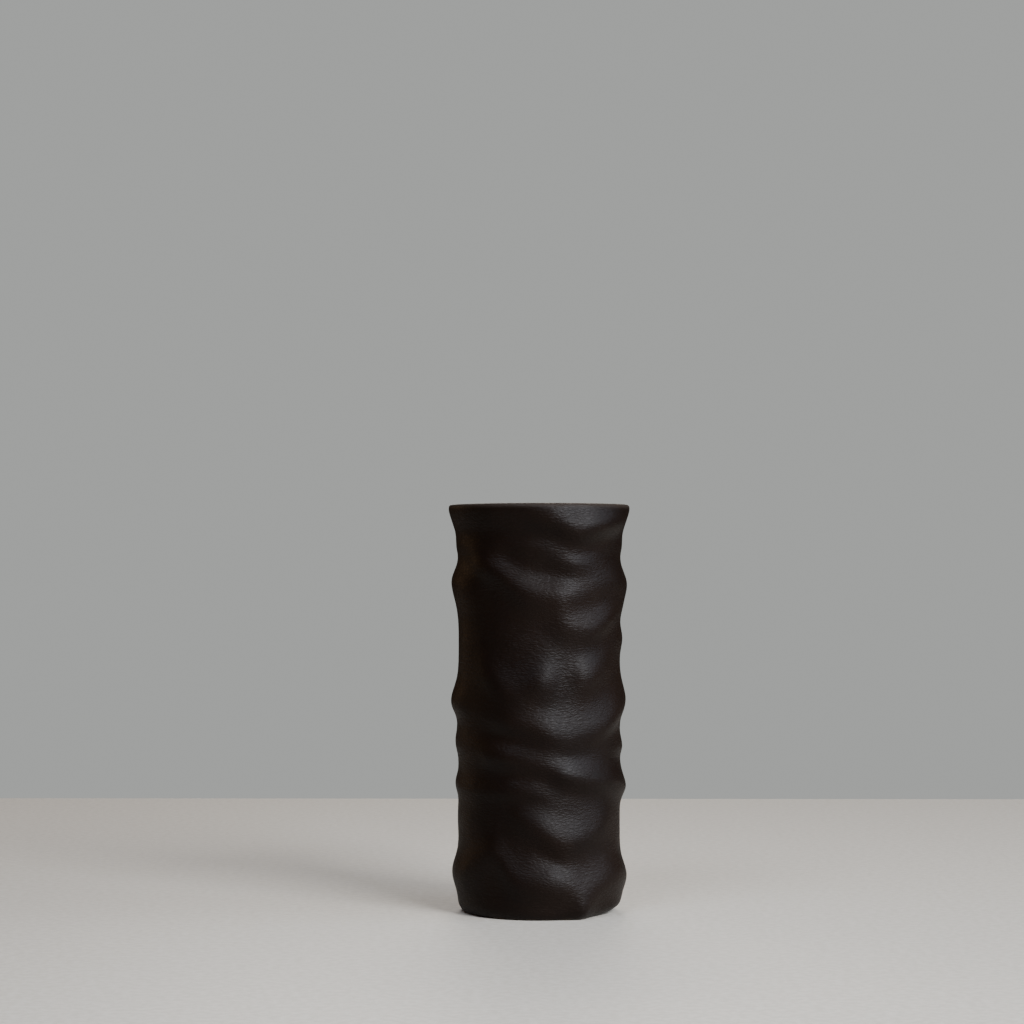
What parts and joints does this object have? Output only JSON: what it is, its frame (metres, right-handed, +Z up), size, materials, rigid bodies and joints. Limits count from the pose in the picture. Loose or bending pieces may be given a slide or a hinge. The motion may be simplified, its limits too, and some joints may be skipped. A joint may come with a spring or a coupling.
{
  "type": "bud vase",
  "caption": "Tall ceramic vase for buds and dried stems: a softly folded cylinder with a flared open rim and a flat closed foot.",
  "frame": {"origin": "middle of the flat foot, on the surface that the vase stands on", "axes": "+Z up, from the foot to the rim; -Y towards the front, the side with the pleat at the foot"},
  "size_m": [0.0904, 0.0918, 0.202],
  "materials": {
    "black_ceramic": "matte to satin, with a fine leathery grain"
  },
  "bodies": {
    "root": {"vase_body": "black_ceramic"}
  },
  "joints": []
}
